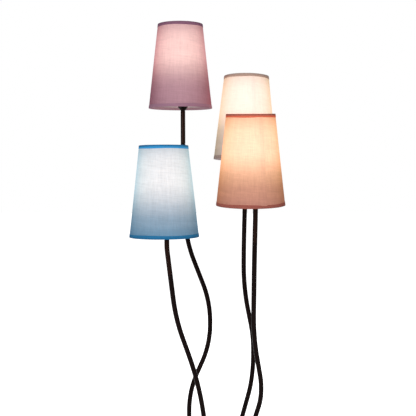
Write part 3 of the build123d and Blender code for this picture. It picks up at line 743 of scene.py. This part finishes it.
# ---------------------------------------------------------------- the whole lamp
def dress_nodes(coat):
    """Gives each node that stays its material."""
    thermoset, shoulder, wire = black_thermoset(), white_shoulder(), white_coated_wire()
    zinc, nylon, opal = zinc_plated_steel(), natural_nylon(), opal_glass_lit()
    finish = {
        "foot_pad": foam_rubber(), "base_weight": sand_cast_iron(), "base_cover": coat,
        "arm_hub": coat, "hub_set_screws": zinc, "tie_stud": zinc, "tie_nut": zinc,
        "tie_washer": zinc, "clamp_screws": zinc, "cord_grommet": moulded_rubber(),
        "terminal_block": nylon, "cord_clamp": nylon,
    }
    for name in HEADS:
        finish |= {
            f"{name}_socket_cup": coat, f"{name}_lampholder": thermoset,
            f"{name}_ring_nut": thermoset, f"{name}_bulb_base": shoulder,
            f"{name}_bulb_globe": opal, f"{name}_shade_carrier": wire,
            f"{name}_shade_top_ring": wire,
        }
    for name, material in finish.items():
        mesh = frame["nodes"][name].data
        mesh.materials.clear()
        mesh.materials.append(material)


def build_lamp():
    """Dresses the solids and adds each head's arm, neck and shade."""
    coat, sleeve = mocha_powder_coat(), mocha_sleeve()
    dress_nodes(coat)
    for name, values in HEADS.items():
        head = Head(name, **values)
        add_arm(name, head, coat, sleeve)
        add_shade(name, head, CLOTHS[name])


# ---------------------------------------------------------------- floor, light and camera
CAMERA_PLACE = (-0.032, -2.167, 1.242)
CAMERA_PITCH = math.radians(4.0)  # downwards
SENSOR_WIDTH = 36.0  # in millimetres
FOCAL_PIXELS = 800.0  # of an image this many pixels wide:
IMAGE_PIXELS = 416.0

LAMP_MIDDLE = (0.0, 0.0, 1.0)  # what the softboxes face
# Each one's place, its side in metres, its power in watts and whether glossy surfaces mirror it
SOFTBOXES = {
    "key": dict(place=(-1.3, -3.4, 2.3), size=2.0, power=85.0, mirrored=True),
    "fill": dict(place=(2.2, -3.2, 1.4), size=2.4, power=40.0, mirrored=False),
    "rear": dict(place=(0.4, 3.2, 2.6), size=2.4, power=70.0, mirrored=True),
}
WORLD_LIGHT = 0.3  # the world's strength to everything but the camera, which sees it white

FLOOR_REACH = 14.0  # each way from the lamp
FLOOR_COLOUR = (0.8, 0.8, 0.8, 1)
WHITE = (1, 1, 1, 1)
# What takes the floor outside the lamp's shadow to white: its own glow near the lamp, where the
# lights reach it, and far from it, at these distances from the lamp's axis
FLOOR_NEAR_GLOW, FLOOR_FAR_GLOW = 0.42, 1.0
FLOOR_NEAR, FLOOR_FAR = 0.5, 1.4
FLOOR_IN_GLOSS = 0.25  # how much of that glow a glossy surface mirrors


def seen_rays(tree):
    """The light path's node, and 1 for what the camera sees straight or through glass."""
    rays = add(tree, "ShaderNodeLightPath")
    seen = maths(tree, "MAXIMUM", rays.outputs["Is Camera Ray"], rays.outputs["Is Transmission Ray"])
    return rays, seen


def add_floor():
    """A plain pale floor that the camera sees as white where no shadow falls."""
    near, far = -FLOOR_REACH, FLOOR_REACH
    corners = [(near, near, 0), (far, near, 0), (far, far, 0), (near, far, 0)]
    mesh = bpy.data.meshes.new("floor")
    mesh.from_pydata(corners, [], [(0, 1, 2, 3)])
    floor = bpy.data.objects.new("floor", mesh)
    bpy.context.scene.collection.objects.link(floor)
    material, tree, shader = start_material(
        "pale_floor", Base_Color=FLOOR_COLOUR, Roughness=0.9, Specular_IOR_Level=0.0,
        Emission_Color=WHITE,
    )
    rays, seen = seen_rays(tree)
    mirrored = scale_value(tree, rays.outputs["Is Glossy Ray"], FLOOR_IN_GLOSS)
    seen = maths(tree, "MAXIMUM", seen, mirrored)
    place = add(tree, "ShaderNodeTexCoord").outputs["Object"]
    distance = add(tree, "ShaderNodeVectorMath", {0: place}, operation="LENGTH").outputs["Value"]
    level = add(
        tree, "ShaderNodeMapRange",
        {
            "Value": distance, "From Min": FLOOR_NEAR, "From Max": FLOOR_FAR,
            "To Min": FLOOR_NEAR_GLOW, "To Max": FLOOR_FAR_GLOW,
        },
        interpolation_type="SMOOTHSTEP",
    ).outputs[0]
    tree.links.new(scale_value(tree, seen, level), shader.inputs["Emission Strength"])
    mesh.materials.append(material)


def add_world():
    """White to the camera, and a soft even light to everything else."""
    world = bpy.data.worlds.new("studio")
    bpy.context.scene.world = world
    world.use_nodes = True
    tree = world.node_tree
    background = tree.nodes["Background"]
    background.inputs["Color"].default_value = WHITE
    _, seen = seen_rays(tree)
    level = add(tree, "ShaderNodeMapRange", {"Value": seen, "To Min": WORLD_LIGHT, "To Max": 1.0})
    tree.links.new(level.outputs[0], background.inputs["Strength"])


def add_softbox(name, place, size, power, mirrored):
    """A square soft light that faces the lamp and may show as a streak on glossy surfaces."""
    data = bpy.data.lights.new(name, "AREA")
    data.size = size
    data.energy = power
    light = bpy.data.objects.new(name, data)
    bpy.context.scene.collection.objects.link(light)
    light.location = place
    light.visible_glossy = mirrored
    toward = unit(np.array(LAMP_MIDDLE) - np.array(place))
    light.rotation_euler = Vector(toward).to_track_quat("-Z", "Y").to_euler()


def add_camera():
    """The view of the lamp's upper part, looking level along +Y but for its pitch."""
    data = bpy.data.cameras.new("camera")
    data.sensor_width = SENSOR_WIDTH
    data.lens = SENSOR_WIDTH * FOCAL_PIXELS / IMAGE_PIXELS
    camera = bpy.data.objects.new("camera", data)
    bpy.context.scene.collection.objects.link(camera)
    camera.location = CAMERA_PLACE
    camera.rotation_euler = (math.pi / 2 - CAMERA_PITCH, 0, 0)
    bpy.context.scene.camera = camera


add_camera()
build_lamp()
add_floor()
add_world()
for light_name, values in SOFTBOXES.items():
    add_softbox(light_name, **values)
bpy.context.scene.view_settings.view_transform = "Standard"
